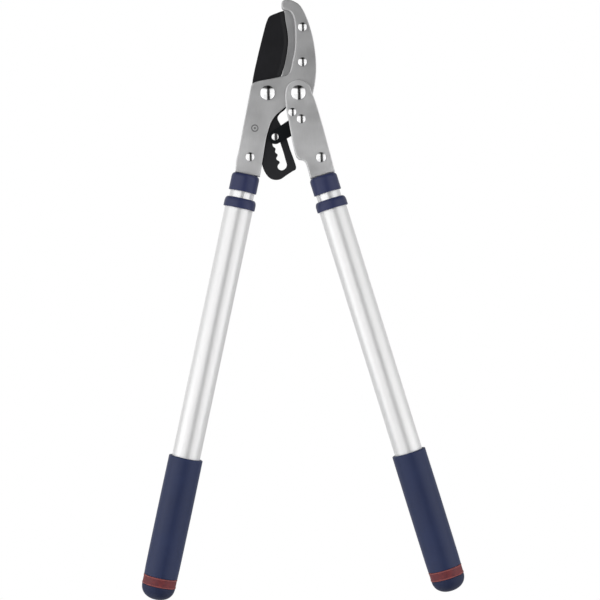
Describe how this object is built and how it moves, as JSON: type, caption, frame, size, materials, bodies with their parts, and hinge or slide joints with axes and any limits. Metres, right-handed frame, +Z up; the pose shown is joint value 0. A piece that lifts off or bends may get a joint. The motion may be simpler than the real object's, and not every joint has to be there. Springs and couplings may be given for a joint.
{
  "type": "ratchet anvil loppers",
  "caption": "Long-handled telescopic loppers: hooked jaw with anvil bar, black toothed ratchet blade, riveted silver levers, aluminium tubes, dark blue grips with a red band.",
  "frame": {"origin": "bottom centre of the whole tool's bounding box, in the middle plane of the cutting head", "axes": "+Z up from the grips to the jaw tip, +X to the right seen from the bolt-head side, +Y towards the nut side"},
  "size_m": [0.3608, 0.0388, 0.6717],
  "materials": {
    "jaw_silver": "satin, bead blasted",
    "anvil_alloy": "milled satin",
    "rivet_chrome": "polished",
    "zinc_steel": "zinc plated satin",
    "lever_silver": "satin, bead blasted",
    "blade_coating": "black non-stick coating",
    "bush_bronze": "sintered bronze",
    "link_black": "black oxide",
    "ferrule_blue": "moulded, fine texture",
    "tube_aluminium": "bright satin anodised",
    "lock_nylon": "moulded",
    "grip_rubber": "soft touch, matte",
    "band_red": "satin"
  },
  "bodies": {
    "jaw_and_left_lever": {"jaw_plate_front": "jaw_silver", "jaw_plate_back": "jaw_silver", "anvil_bar": "anvil_alloy", "anvil_rivet_upper": "rivet_chrome", "anvil_rivet_lower": "rivet_chrome", "blade_pivot_bolt": "rivet_chrome", "blade_pivot_nut": "zinc_steel", "lever_pivot_bolt": "rivet_chrome", "lever_pivot_nut": "zinc_steel", "left_tang": "zinc_steel", "left_tang_rivet": "rivet_chrome", "left_ferrule": "ferrule_blue", "left_inner_tube": "tube_aluminium", "left_tube_pin": "zinc_steel", "left_lock_spindle": "lock_nylon"},
    "blade": {"blade": "blade_coating", "blade_bush": "bush_bronze"},
    "right_lever": {"lever_plate_front": "lever_silver", "lever_plate_back": "lever_silver", "link_pivot_rivet": "rivet_chrome", "link_stop_rivet": "rivet_chrome", "link_spring": "zinc_steel", "right_tang": "zinc_steel", "right_tang_rivet": "rivet_chrome", "right_ferrule": "ferrule_blue", "right_inner_tube": "tube_aluminium", "right_tube_pin": "zinc_steel", "right_lock_spindle": "lock_nylon"},
    "ratchet_link": {"link_plate_front": "link_black", "link_plate_back": "link_black", "ratchet_pin": "zinc_steel"},
    "left_lock": {"left_lock_sleeve": "lock_nylon"},
    "right_lock": {"right_lock_sleeve": "lock_nylon"},
    "left_outer": {"left_outer_tube": "tube_aluminium", "left_tube_collar": "ferrule_blue", "left_grip": "grip_rubber", "left_grip_band": "band_red", "left_end_cap": "grip_rubber"},
    "right_outer": {"right_outer_tube": "tube_aluminium", "right_tube_collar": "ferrule_blue", "right_grip": "grip_rubber", "right_grip_band": "band_red", "right_end_cap": "grip_rubber"}
  },
  "joints": [
    {"name": "lever_open", "type": "hinge", "parent": "jaw_and_left_lever", "child": "right_lever", "pos_m": [-0.0053, 0, 0.56742], "axis": [0, -1, 0], "range_deg": [0, 66]},
    {"name": "blade_open", "type": "hinge", "parent": "jaw_and_left_lever", "child": "blade", "pos_m": [-0.0397, 0, 0.56742], "axis": [0, -1, 0], "range_deg": [0, 48]},
    {"name": "link_swing", "type": "hinge", "parent": "right_lever", "child": "ratchet_link", "pos_m": [-0.0022, 0, 0.53812], "axis": [0, -1, 0], "range_deg": [0, 4]},
    {"name": "left_twist_lock", "type": "hinge", "parent": "jaw_and_left_lever", "child": "left_lock", "pos_m": [-0.0638, 0, 0.47662], "axis": [-0.2079, 0, -0.9781], "range_deg": [0, 90]},
    {"name": "left_telescope", "type": "slide", "parent": "left_lock", "child": "left_outer", "axis": [-0.2079, 0, -0.9781], "range_m": [0, 0.3]},
    {"name": "right_twist_lock", "type": "hinge", "parent": "right_lever", "child": "right_lock", "pos_m": [0.0217, 0, 0.47522], "axis": [0.2974, 0, -0.9548], "range_deg": [0, 90]},
    {"name": "right_telescope", "type": "slide", "parent": "right_lock", "child": "right_outer", "axis": [0.2974, 0, -0.9548], "range_m": [0, 0.3]}
  ],
  "couplings": [
    {"joint": "blade_open", "follows": "lever_open", "ratio": 0.72},
    {"joint": "link_swing", "follows": "lever_open", "ratio": 0.05}
  ]
}
